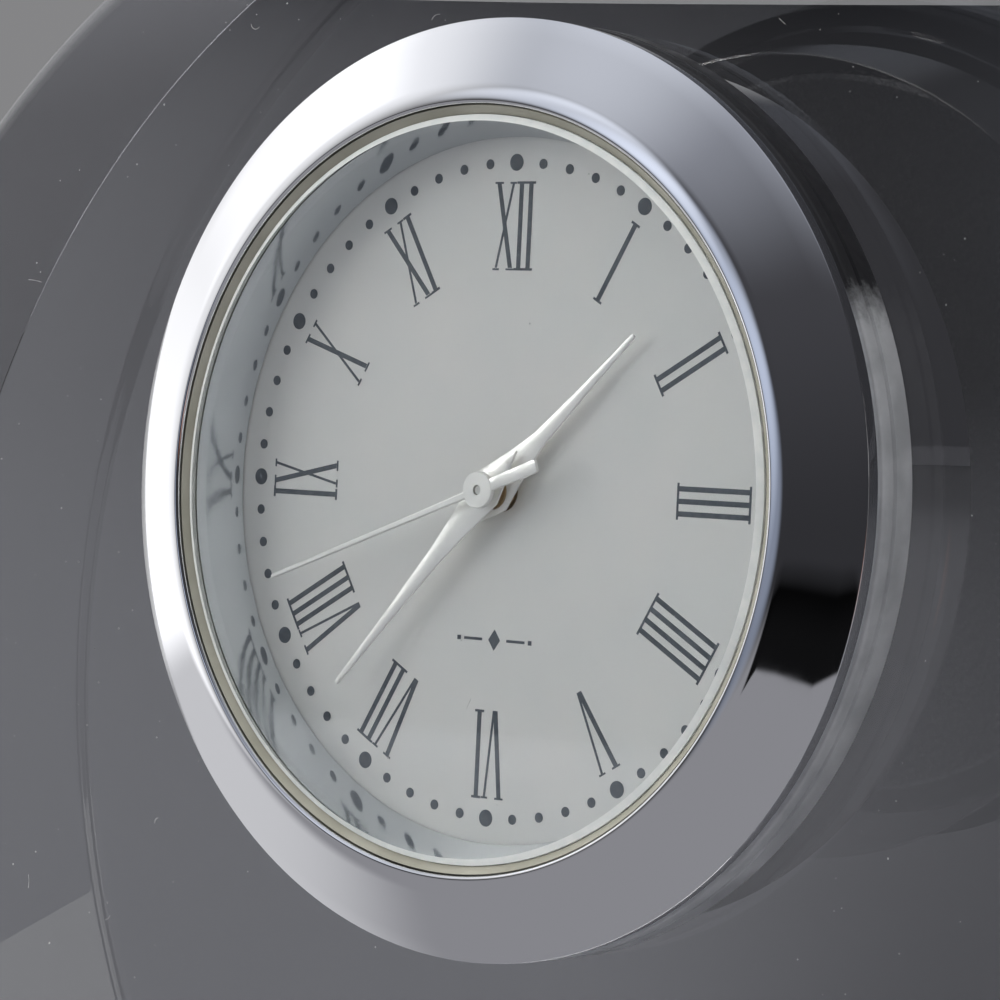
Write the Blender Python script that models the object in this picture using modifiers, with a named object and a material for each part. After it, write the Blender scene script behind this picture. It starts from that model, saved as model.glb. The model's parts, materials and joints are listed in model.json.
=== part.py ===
"""Small desk clock: a 37 mm quartz insert press-fitted into a polished clear disc that leans back 5 degrees.

World frame: metres, +Z up, the clock looks towards -Y and its base stands on z = 0.
The insert is modelled in its own frame, on the empty "clock_axis": u (local X) points to 3 o'clock,
v (local Y) to 12 o'clock, w (local Z) out of the dial towards the viewer. w = 0 is the block's front face.
"""

import math

import bmesh
import bpy
from mathutils import Matrix, Vector

MM = 0.001

# Clear block
LEAN = math.radians(5.0)
BLOCK_R = 45.5 * MM
BLOCK_THICKNESS = 19.0 * MM
BLOCK_DROP = 16.8 * MM
BASE_BELOW_CENTRE = 39.5 * MM
BLOCK_EDGE = 1.5 * MM
HOLE_R = 17.5 * MM
HOLE_DEPTH = 9.0 * MM

# Place of the clock axis on the front face
AXIS_Z = BASE_BELOW_CENTRE + BLOCK_DROP * math.cos(LEAN)
AXIS_Y = -6.615 * MM

# Insert, radii and depths along w
FLANGE_R = 18.5 * MM
FLANGE_TOP = 2.0 * MM
CASE_R = 15.87 * MM
CASE_BORE = 15.2 * MM
CASE_REAR = -4.8 * MM
GLASS_R = 14.8 * MM
GLASS_TOP = 4.2 * MM
GLASS_BOTTOM = 3.42 * MM
DIAL_TOP = 1.17 * MM
DIAL_THICKNESS = 0.4 * MM
DIAL_R = 15.1 * MM
DIAL_SEEN_R = 13.95 * MM
FIT = 0.05 * MM
RING_SEGMENTS = 56
BLOCK_SEGMENTS = 96
HOLE_SEGMENTS = 12

# Movement
PLATE_R = 12.6 * MM
PLATE_TOP = 0.7 * MM
PLATE_REAR = -0.9 * MM
RECESS_FLOOR = -0.12 * MM
BRIDGE_TOP = -3.2 * MM
BRIDGE_REAR = -3.7 * MM
BRIDGE_CENTRE = Vector((-0.6, 2.6)) * MM
BRIDGE_R = 6.6 * MM
ARBOR_R = 0.14 * MM
SECONDS_ARBOR_R = 0.17 * MM
PIVOT_HOLE_R = 0.19 * MM
ARBOR_FRONT = -0.55 * MM
ARBOR_REAR = -3.5 * MM
STUD_R = 0.18 * MM
STUD_HOLE_R = 0.22 * MM
PILLAR_R = 0.65 * MM
SCREW_R = 0.3 * MM
SCREW_HOLE_R = 0.36 * MM
SCREW_HEAD_R = 0.6 * MM
SCREW_HEAD_HEIGHT = 0.28 * MM
BATTERY_R = 4.75 * MM
BATTERY_AT = Vector((0.0, -7.7)) * MM
STEM_W = -1.75 * MM
STEM_R = 0.35 * MM
CROWN_R = 1.6 * MM

# Wheel train: modules and tooth counts
ROTOR_MODULE = 0.11 * MM
FIFTH_MODULE = 0.14 * MM
CENTRE_MODULE = 0.11 * MM
MOTION_MODULE = 0.11 * MM
ROTOR_PINION = 6
FIFTH_WHEEL = 30
FIFTH_PINION = 6
SECONDS_WHEEL = 36
SECONDS_PINION = 6
THIRD_WHEEL = 45
THIRD_PINION = 6
CENTRE_WHEEL = 48
CANNON_PINION = 10
MINUTE_WHEEL = 30
MINUTE_PINION = 8
HOUR_WHEEL = 32
SETTING_WHEEL = 15

CENTRE_TO_THIRD = CENTRE_MODULE * (CENTRE_WHEEL + THIRD_PINION) / 2
THIRD_MODULE = 2 * CENTRE_TO_THIRD / (THIRD_WHEEL + SECONDS_PINION)


def polar(radius, degrees):
    return Vector((math.cos(math.radians(degrees)), math.sin(math.radians(degrees)))) * radius


AT_CENTRE = Vector((0.0, 0.0))
AT_THIRD = polar(CENTRE_TO_THIRD, 160)
AT_FIFTH = polar(FIFTH_MODULE * (FIFTH_PINION + SECONDS_WHEEL) / 2, 50)
AT_ROTOR = AT_FIFTH + polar(ROTOR_MODULE * (ROTOR_PINION + FIFTH_WHEEL) / 2, 105)
AT_MINUTE = polar(MOTION_MODULE * (CANNON_PINION + MINUTE_WHEEL) / 2, -20)
AT_SETTING = AT_MINUTE + polar(MOTION_MODULE * (MINUTE_WHEEL + SETTING_WHEEL) / 2, 20)
BRIDGE_SCREWS = [
    BRIDGE_CENTRE + polar(5.7 * MM, -20),
    BRIDGE_CENTRE + polar(5.7 * MM, 170),
    BRIDGE_CENTRE + polar(5.9 * MM, 243),
]
COIL_ENDS = [Vector((-5.2, 9.0)) * MM, Vector((7.0, 9.0)) * MM]
CLAMP_SCREWS = [Vector((-5.7, -7.7)) * MM, Vector((5.7, -7.7)) * MM]
BOARD_SCREW = Vector((-7.9, 1.7)) * MM

# Hands: clock angles at rest, in degrees clockwise from 12, and outlines as (distance along, half width)
MINUTE_RING_R = 12.95 * MM
HOUR_ANGLE = 46.8
MINUTE_ANGLE = 222.3
SECOND_ANGLE = 249.5
HAND_THICKNESS = 0.14 * MM
HOUR_HAND_W = 1.66 * MM
MINUTE_HAND_W = 2.06 * MM
SECOND_HAND_W = 2.52 * MM
HOUR_OUTLINE = [(0.700, 0.007), (0.45, 0.016), (0.24, 0.030), (0.125, 0.058), (0.0, 0.098), (-0.11, 0.045)]
HOUR_TAIL = -0.19
MINUTE_OUTLINE = [(0.845, 0.008), (0.55, 0.018), (0.28, 0.031), (0.15, 0.046), (0.0, 0.068), (-0.07, 0.045)]
MINUTE_TAIL = -0.165
SECOND_OUTLINE = [(0.885, 0.005), (0.06, 0.016)]
SECOND_TAIL = -0.237
SECOND_TAIL_HALF = 0.021
SECOND_HUB_R = 0.058 * MINUTE_RING_R


def clear_scene():
    for old in list(bpy.data.objects):
        bpy.data.objects.remove(old, do_unlink=True)


def new_collection(name):
    collection = bpy.data.collections.new(name)
    bpy.context.scene.collection.children.link(collection)
    return collection


def material(name, colour, roughness=0.4, metallic=0.0, transmission=0.0):
    found = bpy.data.materials.get(name)
    if found:
        return found
    made = bpy.data.materials.new(name)
    made.use_nodes = True
    shader = made.node_tree.nodes["Principled BSDF"]
    shader.inputs["Base Color"].default_value = (*colour, 1.0)
    shader.inputs["Roughness"].default_value = roughness
    shader.inputs["Metallic"].default_value = metallic
    shader.inputs["Transmission Weight"].default_value = transmission
    shader.inputs["IOR"].default_value = 1.5
    made.diffuse_color = (*colour, 1.0)
    return made


def clear_crystal():
    return material("clear crystal", (0.93, 0.95, 0.96), 0.0, 0.0, 1.0)


def chrome():
    return material("chrome", (0.82, 0.83, 0.85), 0.06, 1.0)


def steel():
    return material("bright steel", (0.62, 0.62, 0.63), 0.28, 1.0)


def brass():
    return material("brass", (0.72, 0.55, 0.27), 0.25, 1.0)


def moulded(name, colour):
    return material(name, colour, 0.45)


def place(obj, at=AT_CENTRE, w=0.0, turn=0.0, surface=None, cutter=False):
    """Puts an object on the clock axis frame, with its origin at (u, v, w)."""
    (CUTTERS if cutter else PARTS).objects.link(obj)
    obj.parent = CLOCK_AXIS
    obj.location = (at[0], at[1], w)
    obj.rotation_euler = (0.0, 0.0, turn)
    if cutter:
        obj.hide_render = True
        obj.display_type = "WIRE"
    elif surface:
        obj.data.materials.clear()
        obj.data.materials.append(surface)
    return obj


def smooth(obj, degrees=30):
    obj.data.shade_smooth()
    obj.data.set_sharp_from_angle(angle=math.radians(degrees))


def screw_modifier(obj, segments):
    turn = obj.modifiers.new("turn", "SCREW")
    turn.steps = segments
    turn.render_steps = segments
    turn.use_merge_vertices = True
    turn.merge_threshold = 1e-7
    turn.use_smooth_shade = False


def turned(name, profile, segments, closed=True):
    """A turned shape round local Z. The profile's (radius, w) points run top to bottom on the outer side."""
    mesh = bpy.data.meshes.new(name)
    bm = bmesh.new()
    points = [bm.verts.new((radius, 0.0, w)) for radius, w in profile]
    for first, second in zip(points, points[1:]):
        bm.edges.new((first, second))
    if closed:
        bm.edges.new((points[-1], points[0]))
    bm.to_mesh(mesh)
    bm.free()
    obj = bpy.data.objects.new(name, mesh)
    screw_modifier(obj, segments)
    return apply_modifiers(obj)


def apply_modifiers(obj):
    """Replaces the object's data by its evaluated mesh, so that it can be joined, cut and shaded."""
    holder = bpy.context.scene.collection
    linked = obj.name in holder.objects or bool(obj.users_collection)
    if not linked:
        holder.objects.link(obj)
    bpy.context.view_layer.update()
    graph = bpy.context.evaluated_depsgraph_get()
    mesh = bpy.data.meshes.new_from_object(obj.evaluated_get(graph))
    bm = bmesh.new()
    bm.from_mesh(mesh)
    bmesh.ops.remove_doubles(bm, verts=bm.verts, dist=1e-7)
    bmesh.ops.recalc_face_normals(bm, faces=bm.faces)
    bm.to_mesh(mesh)
    bm.free()
    mesh.name = obj.name
    name = obj.name
    if obj.type == "MESH":
        obj.modifiers.clear()
        obj.data = mesh
        made = obj
    else:
        bpy.data.objects.remove(obj, do_unlink=True)
        made = bpy.data.objects.new(name, mesh)
        linked = True
    if made.name in holder.objects:
        holder.objects.unlink(made)
    return made


def cylinder(name, radius, low, high, segments=32):
    """A cylinder along w between two depths."""
    mesh = bpy.data.meshes.new(name)
    bm = bmesh.new()
    bmesh.ops.create_cone(
        bm, cap_ends=True, segments=segments, radius1=radius, radius2=radius, depth=high - low,
        matrix=Matrix.Translation((0.0, 0.0, (low + high) / 2)),
    )
    bm.to_mesh(mesh)
    bm.free()
    return bpy.data.objects.new(name, mesh)


def box(name, low, high):
    mesh = bpy.data.meshes.new(name)
    bm = bmesh.new()
    middle = [(a + b) / 2 for a, b in zip(low, high)]
    size = [b - a for a, b in zip(low, high)]
    bmesh.ops.create_cube(bm, size=1.0, matrix=Matrix.Translation(middle) @ Matrix.Diagonal((*size, 1.0)))
    bm.to_mesh(mesh)
    bm.free()
    return bpy.data.objects.new(name, mesh)


def flat_piece(name, outline, low, high, holes=()):
    """A flat outline, with holes, extruded between two depths."""
    curve = bpy.data.curves.new(name, "CURVE")
    curve.dimensions = "2D"
    curve.fill_mode = "BOTH"
    curve.extrude = (high - low) / 2
    for points in [outline, *holes]:
        spline = curve.splines.new("POLY")
        spline.points.add(len(points) - 1)
        for target, point in zip(spline.points, points):
            target.co = (point[0], point[1], 0.0, 1.0)
        spline.use_cyclic_u = True
    made = apply_modifiers(bpy.data.objects.new(name, curve))
    made.data.transform(Matrix.Translation((0.0, 0.0, (low + high) / 2)))
    return made


def circle(radius, segments=24, at=AT_CENTRE):
    return [at + polar(radius, 360 * step / segments) for step in range(segments)]


def boolean(obj, other, operation):
    change = obj.modifiers.new(operation.lower(), "BOOLEAN")
    change.object = other
    change.operation = operation
    change.solver = "EXACT"


def united(obj, others):
    """One body out of overlapping solids that share the same local frame."""
    holder = bpy.context.scene.collection
    for piece in [obj, *others]:
        holder.objects.link(piece)
    for other in others:
        boolean(obj, other, "UNION")
    made = apply_modifiers(obj)
    for other in others:
        bpy.data.objects.remove(other, do_unlink=True)
    return made


def cut(obj, cutters):
    for cutter in cutters:
        boolean(obj, cutter, "DIFFERENCE")


def gear_outline(teeth, module, phase):
    """Straight-flanked teeth with backlash, one of them centred on the angle phase."""
    pitch_r = module * teeth / 2
    small = teeth <= 15
    tip_r = pitch_r + (0.75 if small else 0.85) * module
    root_r = pitch_r - 1.15 * module
    pitch = 2 * math.pi / teeth
    root_half = (0.26 if small else 0.28) * pitch
    tip_half = (0.10 if small else 0.12) * pitch
    outline = []
    for tooth in range(teeth):
        middle = phase + tooth * pitch
        for angle, radius in ((-root_half, root_r), (-tip_half, tip_r), (tip_half, tip_r), (root_half, root_r)):
            outline.append(Vector((math.cos(middle + angle), math.sin(middle + angle))) * radius)
    return outline


def meshed_phase(driver_phase, driver_teeth, driver_at, teeth, at):
    """The phase that puts a gap of this wheel opposite a tooth of its driver."""
    line = math.atan2(at[1] - driver_at[1], at[0] - driver_at[0])
    offset = driver_teeth * (driver_phase - line) / (2 * math.pi)
    return line + math.pi + (0.5 - offset) * 2 * math.pi / teeth


def hand_outline(half_shape, tail):
    right = [(half, along) for along, half in half_shape]
    left = [(-half, along) for along, half in reversed(half_shape)]
    points = right + [(0.0, tail)] + left
    return [Vector(point) * MINUTE_RING_R for point in reversed(points)]


def clear_block():
    """The disc: turned round the clock axis direction, cut by the upright rear face and the level base."""
    back = -(BLOCK_THICKNESS + 15 * MM)
    profile = [(0.0, 0.0)]
    for step in range(4):
        angle = math.radians(90 - 30 * step)
        profile.append(
            (BLOCK_R - BLOCK_EDGE + BLOCK_EDGE * math.cos(angle), -BLOCK_EDGE + BLOCK_EDGE * math.sin(angle))
        )
    profile += [(BLOCK_R, back), (0.0, back)]
    block = turned("crystal_block", profile, BLOCK_SEGMENTS, closed=False)
    place(block, Vector((0.0, -BLOCK_DROP)), surface=clear_crystal())
    rear = box("rear_cut", (-80 * MM, 0.0, -80 * MM), (80 * MM, 80 * MM, 160 * MM))
    rear.location = (0.0, AXIS_Y + BLOCK_THICKNESS * math.cos(LEAN), 0.0)
    base = box("base_cut", (-80 * MM, -80 * MM, -60 * MM), (80 * MM, 80 * MM, 0.0))
    for cutter in (rear, base):
        CUTTERS.objects.link(cutter)
        cutter.hide_render = True
        cutter.display_type = "WIRE"
    hole = place(cylinder("hole_cut", HOLE_R, -HOLE_DEPTH, 5 * MM, RING_SEGMENTS), cutter=True)
    cut(block, [rear, base, hole])
    smooth(block)


def insert_case():
    gasket = turned(
        "grip_gasket",
        [
            (CASE_R + FIT, FLANGE_TOP), (FLANGE_R, FLANGE_TOP), (FLANGE_R, 1.3 * MM),
            (FLANGE_R - 0.15 * MM, 1.24 * MM), (FLANGE_R, 1.18 * MM), (FLANGE_R, FIT), (HOLE_R - FIT, FIT),
            (HOLE_R - FIT, -4.3 * MM), (HOLE_R - 0.35 * MM, -4.6 * MM), (CASE_R + FIT, -4.6 * MM),
        ],
        RING_SEGMENTS,
    )
    place(gasket, surface=material("clear soft plastic", (0.85, 0.87, 0.86), 0.15, 0.0, 0.9))
    seam = place(box("seam_cut", (14 * MM, -0.15 * MM, -6 * MM), (20 * MM, 0.15 * MM, 4 * MM)), cutter=True)
    crown_gap = place(box("crown_gap_cut", (14 * MM, -2 * MM, -6 * MM), (19 * MM, 2 * MM, -FIT)), cutter=True)
    cut(gasket, [seam, crown_gap])
    smooth(gasket)

    bezel = turned(
        "bezel",
        [
            (CASE_BORE, 4.22 * MM), (15.27 * MM, 4.36 * MM), (15.45 * MM, 4.4 * MM), (15.65 * MM, 4.34 * MM),
            (18.2 * MM, 3.14 * MM), (18.42 * MM, 3.0 * MM), (FLANGE_R, 2.86 * MM),
            (FLANGE_R - 0.05 * MM, FLANGE_TOP + FIT), (CASE_R + FIT, FLANGE_TOP + FIT),
            (CASE_R + FIT, 2.88 * MM), (CASE_BORE, 2.88 * MM),
        ],
        RING_SEGMENTS,
    )
    place(bezel, surface=chrome())
    smooth(bezel)

    glass = turned(
        "dial_glass",
        [
            (0.0, GLASS_TOP), (GLASS_R - 0.4 * MM, GLASS_TOP), (GLASS_R - 0.12 * MM, GLASS_TOP - 0.08 * MM),
            (GLASS_R, GLASS_TOP - 0.3 * MM), (GLASS_R, GLASS_BOTTOM), (0.0, GLASS_BOTTOM),
        ],
        RING_SEGMENTS, closed=False,
    )
    place(glass, surface=material("mineral glass", (0.95, 0.97, 0.97), 0.01, 0.0, 1.0))
    smooth(glass)

    seal = turned(
        "glass_seal",
        [
            (GLASS_R + 0.03 * MM, GLASS_TOP), (CASE_BORE - 0.03 * MM, GLASS_TOP),
            (CASE_BORE - 0.03 * MM, GLASS_BOTTOM), (GLASS_R + 0.03 * MM, GLASS_BOTTOM),
        ],
        RING_SEGMENTS,
    )
    place(seal, surface=moulded("olive seal", (0.09, 0.09, 0.06)))
    smooth(seal)

    reflector = turned(
        "reflector_ring",
        [
            (14.52 * MM, GLASS_BOTTOM - FIT), (CASE_BORE - FIT, GLASS_BOTTOM - FIT),
            (CASE_BORE - FIT, DIAL_TOP + FIT), (DIAL_SEEN_R, DIAL_TOP + FIT),
        ],
        RING_SEGMENTS,
    )
    place(reflector, surface=material("mirror silver", (0.8, 0.8, 0.8), 0.08, 1.0))
    smooth(reflector)

    tube = turned(
        "case_tube",
        [(CASE_BORE, 2.83 * MM), (CASE_R, 2.83 * MM), (CASE_R, CASE_REAR), (CASE_BORE, CASE_REAR)],
        RING_SEGMENTS,
    )
    place(tube, surface=steel())
    window = box("crown_window_cut", (14 * MM, -1.8 * MM, -3.6 * MM), (17 * MM, 1.8 * MM, -FIT))
    place(window, cutter=True)
    cut(tube, [window])
    smooth(tube)

    cap = turned(
        "back_cap",
        [
            (0.0, -4.4 * MM), (CASE_BORE - FIT, -4.4 * MM), (CASE_BORE - FIT, CASE_REAR - FIT),
            (CASE_R, CASE_REAR - FIT), (CASE_R, -5.2 * MM), (CASE_R - 0.2 * MM, -5.4 * MM), (0.0, -5.4 * MM),
        ],
        RING_SEGMENTS, closed=False,
    )
    place(cap, surface=steel())
    smooth(cap)

    dial = flat_piece(
        "dial", circle(DIAL_R, RING_SEGMENTS), DIAL_TOP - DIAL_THICKNESS, DIAL_TOP, holes=[circle(0.85 * MM)]
    )
    place(dial, surface=material("silvered dial", (0.62, 0.62, 0.61), 0.35, 0.4))

    ring = turned(
        "movement_ring",
        [
            (PLATE_R + 0.1 * MM, PLATE_TOP), (DIAL_R, PLATE_TOP), (DIAL_R, -2.9 * MM),
            (PLATE_R + 0.1 * MM, -2.9 * MM),
        ],
        RING_SEGMENTS,
    )
    place(ring, surface=moulded("white plastic", (0.75, 0.75, 0.73)))
    slot = box("stem_slot_cut", (12 * MM, -0.8 * MM, -4 * MM), (16 * MM, 0.8 * MM, PLATE_REAR))
    place(slot, cutter=True)
    cut(ring, [slot])
    smooth(ring)


def drilled(name, radius, at, low, high, segments=HOLE_SEGMENTS):
    return place(cylinder(name, radius, low, high, segments), at, cutter=True)


def movement_plates():
    plate = cylinder("main_plate", PLATE_R, PLATE_REAR, PLATE_TOP, 48)
    pillars = []
    for index, (at, low) in enumerate(
        [(at, BRIDGE_TOP + FIT) for at in BRIDGE_SCREWS]
        + [(at, BRIDGE_TOP + FIT) for at in CLAMP_SCREWS]
        + [(BOARD_SCREW, -2.35 * MM)]
    ):
        pillar = cylinder(f"pillar_{index}", PILLAR_R, low, PLATE_REAR + 0.3 * MM, HOLE_SEGMENTS)
        pillar.data.transform(Matrix.Translation((at[0], at[1], 0.0)))
        pillars.append(pillar)
    plate = united(plate, pillars)
    place(plate, surface=moulded("black plastic", (0.03, 0.03, 0.035)))
    recess_at = Vector((1.9, -0.2)) * MM
    cutters = [drilled("recess_cut", 3.95 * MM, recess_at, RECESS_FLOOR, 2 * MM, 36)]
    cutters.append(drilled("centre_cut", 0.46 * MM, AT_CENTRE, -2 * MM, 1 * MM, 20))
    for name, at in (("third", AT_THIRD), ("fifth", AT_FIFTH), ("rotor", AT_ROTOR)):
        cutters.append(drilled(f"{name}_pivot_cut", PIVOT_HOLE_R, at, -2 * MM, ARBOR_FRONT + FIT))
    for name, at in (("minute", AT_MINUTE), ("setting", AT_SETTING)):
        cutters.append(drilled(f"{name}_stud_hole", STUD_R + 0.02 * MM, at, -2 * MM, 1 * MM))
    for index, at in enumerate([*BRIDGE_SCREWS, *CLAMP_SCREWS]):
        cutters.append(drilled(f"screw_cut_{index}", SCREW_HOLE_R, at, -5 * MM, -2.2 * MM))
    cutters.append(drilled("board_screw_cut", SCREW_HOLE_R, BOARD_SCREW, -5 * MM, -1.5 * MM))
    for index, at in enumerate(COIL_ENDS):
        cutters.append(drilled(f"coil_screw_cut_{index}", SCREW_HOLE_R, at, -5 * MM, -0.35 * MM))
    cut(plate, cutters)
    smooth(plate)

    for name, at, top in (("minute_wheel_stud", AT_MINUTE, 0.62), ("setting_wheel_stud", AT_SETTING, 0.3)):
        stud = cylinder(name, STUD_R, PLATE_REAR, top * MM, 16)
        place(stud, at, surface=steel())
        smooth(stud)

    bridge_holes = [circle(SCREW_HOLE_R, HOLE_SEGMENTS, at) for at in BRIDGE_SCREWS]
    bridge_holes += [circle(PIVOT_HOLE_R, HOLE_SEGMENTS, at) for at in (AT_THIRD, AT_FIFTH, AT_ROTOR)]
    bridge_holes.append(circle(SECONDS_ARBOR_R + 0.04 * MM, HOLE_SEGMENTS, AT_CENTRE))
    bridge = flat_piece(
        "train_bridge", circle(BRIDGE_R, 40, BRIDGE_CENTRE), BRIDGE_REAR, BRIDGE_TOP, holes=bridge_holes
    )
    place(bridge, surface=material("plated bridge", (0.66, 0.6, 0.45), 0.3, 1.0))


def fastener(name, at, head_low, length):
    """A pan-head screw with a slot, its head facing the rear."""
    head_high = head_low + SCREW_HEAD_HEIGHT
    shank_top = head_high + length
    profile = [
        (0.0, shank_top), (SCREW_R, shank_top), (SCREW_R, head_high), (SCREW_HEAD_R, head_high),
        (SCREW_HEAD_R, head_low), (0.0, head_low),
    ]
    screw = turned(name, profile, HOLE_SEGMENTS, closed=False)
    place(screw, at, surface=steel())
    half = 0.07 * MM
    slot = box(f"{name}_slot", (-MM, -half, head_low - MM), (MM, half, head_low + 0.12 * MM))
    place(slot, at, turn=0.6, cutter=True)
    cut(screw, [slot])
    smooth(screw)


def fasteners():
    for index, at in enumerate(BRIDGE_SCREWS, 1):
        fastener(f"bridge_screw_{index}", at, BRIDGE_REAR - FIT - SCREW_HEAD_HEIGHT, 1.35 * MM)
    for index, at in enumerate(CLAMP_SCREWS, 1):
        fastener(f"clamp_screw_{index}", at, -3.42 * MM - FIT - SCREW_HEAD_HEIGHT, 1.1 * MM)
    for index, at in enumerate(COIL_ENDS, 1):
        fastener(f"coil_screw_{index}", at, -2.45 * MM - FIT - SCREW_HEAD_HEIGHT, 2.0 * MM)
    fastener("board_screw", BOARD_SCREW, -2.6 * MM - FIT - SCREW_HEAD_HEIGHT, 1.0 * MM)


def motor():
    """Single-coil stepping motor: slotted stator plate, coil core, winding."""
    outline = [
        (-0.3, 3.1), (3.4, 3.1), (7.9, 7.6), (7.9, 9.9), (6.1, 9.9), (6.1, 8.1), (3.2, 5.4),
        (-0.8, 5.4), (-4.3, 8.1), (-4.3, 9.9), (-6.1, 9.9), (-6.1, 7.6),
    ]
    holes = [circle(0.85 * MM, 24, AT_ROTOR)] + [circle(SCREW_HOLE_R, HOLE_SEGMENTS, at) for at in COIL_ENDS]
    stator = flat_piece("stator", [Vector(p) * MM for p in outline], -1.9 * MM, -1.2 * MM, holes=holes)
    place(stator, surface=steel())

    core_outline = [
        (-6.1, 8.1), (-4.3, 8.1), (-4.1, 8.65), (5.9, 8.65), (6.1, 8.1), (7.9, 8.1),
        (7.9, 9.9), (6.1, 9.9), (5.9, 9.35), (-4.1, 9.35), (-4.3, 9.9), (-6.1, 9.9),
    ]
    holes = [circle(SCREW_HOLE_R, HOLE_SEGMENTS, at) for at in COIL_ENDS]
    core = flat_piece("coil_core", [Vector(p) * MM for p in core_outline], -2.45 * MM, -1.95 * MM, holes=holes)
    place(core, surface=steel())

    half = 4.75 * MM
    winding = turned(
        "coil_winding",
        [(0.55 * MM, half), (0.93 * MM, half), (0.93 * MM, -half), (0.55 * MM, -half)],
        28,
    )
    winding.data.transform(Matrix.Rotation(math.radians(90), 4, "Y"))
    copper = material("copper wire", (0.6, 0.25, 0.12), 0.35, 1.0)
    place(winding, Vector((0.9, 9.0)) * MM, -2.2 * MM, surface=copper)
    smooth(winding)


def electronics():
    battery = turned(
        "button_cell",
        [
            (0.0, -1.25 * MM), (3.9 * MM, -1.25 * MM), (4.0 * MM, -1.4 * MM), (BATTERY_R, -1.5 * MM),
            (BATTERY_R, -3.0 * MM), (BATTERY_R - 0.12 * MM, -3.12 * MM), (0.0, -3.12 * MM),
        ],
        48, closed=False,
    )
    place(battery, BATTERY_AT, surface=steel())
    smooth(battery)

    clamp_outline = [
        (-6.5, -8.5), (-4.2, -8.5), (-1.6, -9.4), (1.6, -9.4), (4.2, -8.5), (6.5, -8.5),
        (6.5, -6.9), (4.2, -6.9), (1.6, -6.0), (-1.6, -6.0), (-4.2, -6.9), (-6.5, -6.9),
    ]
    holes = [circle(SCREW_HOLE_R, HOLE_SEGMENTS, at) for at in CLAMP_SCREWS]
    outline = [Vector(p) * MM for p in clamp_outline]
    clamp = flat_piece("battery_clamp", outline, -3.42 * MM, -3.2 * MM, holes=holes)
    place(clamp, surface=steel())

    contact_outline = [
        (-9.0, -3.2), (-7.6, -3.2), (-2.6, -6.9), (-0.6, -7.3), (-0.6, -8.3), (-3.2, -8.0), (-9.0, -4.2)
    ]
    contact = flat_piece("battery_contact", [Vector(p) * MM for p in contact_outline], -1.12 * MM, -0.97 * MM)
    place(contact, surface=brass())

    board_outline = [(-11.6, -4.0), (-7.2, -4.0), (-7.2, 2.6), (-11.6, 2.6)]
    board = flat_piece(
        "circuit_board", [Vector(p) * MM for p in board_outline], -2.6 * MM, -2.4 * MM,
        holes=[circle(SCREW_HOLE_R, HOLE_SEGMENTS, BOARD_SCREW)],
    )
    place(board, surface=moulded("green board", (0.03, 0.16, 0.07)))

    chip = box("control_chip", (-9.9 * MM, -2.6 * MM, -3.15 * MM), (-8.1 * MM, -0.8 * MM, -2.65 * MM))
    place(chip, surface=moulded("black epoxy", (0.02, 0.02, 0.02)))

    crystal = cylinder("quartz_can", 0.68 * MM, -2.5 * MM, 2.5 * MM, 24)
    crystal.data.transform(Matrix.Rotation(math.radians(90), 4, "X"))
    place(crystal, Vector((-10.0, -0.6)) * MM, -1.65 * MM, surface=steel())
    smooth(crystal)


def wheel(name, at, layers, surface, bore=None):
    """A wheel with its pinion and arbor as one body: layers of (outline, low, high) that overlap along w."""
    solids = [flat_piece(f"{name}_{index}", *layer) for index, layer in enumerate(layers)]
    solids[0].name = name
    made = united(solids[0], solids[1:])
    place(made, at, surface=surface)
    if bore:
        cut(made, [drilled(f"{name}_bore", bore, at, -6 * MM, 6 * MM, 16)])
    smooth(made, 40)


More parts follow.
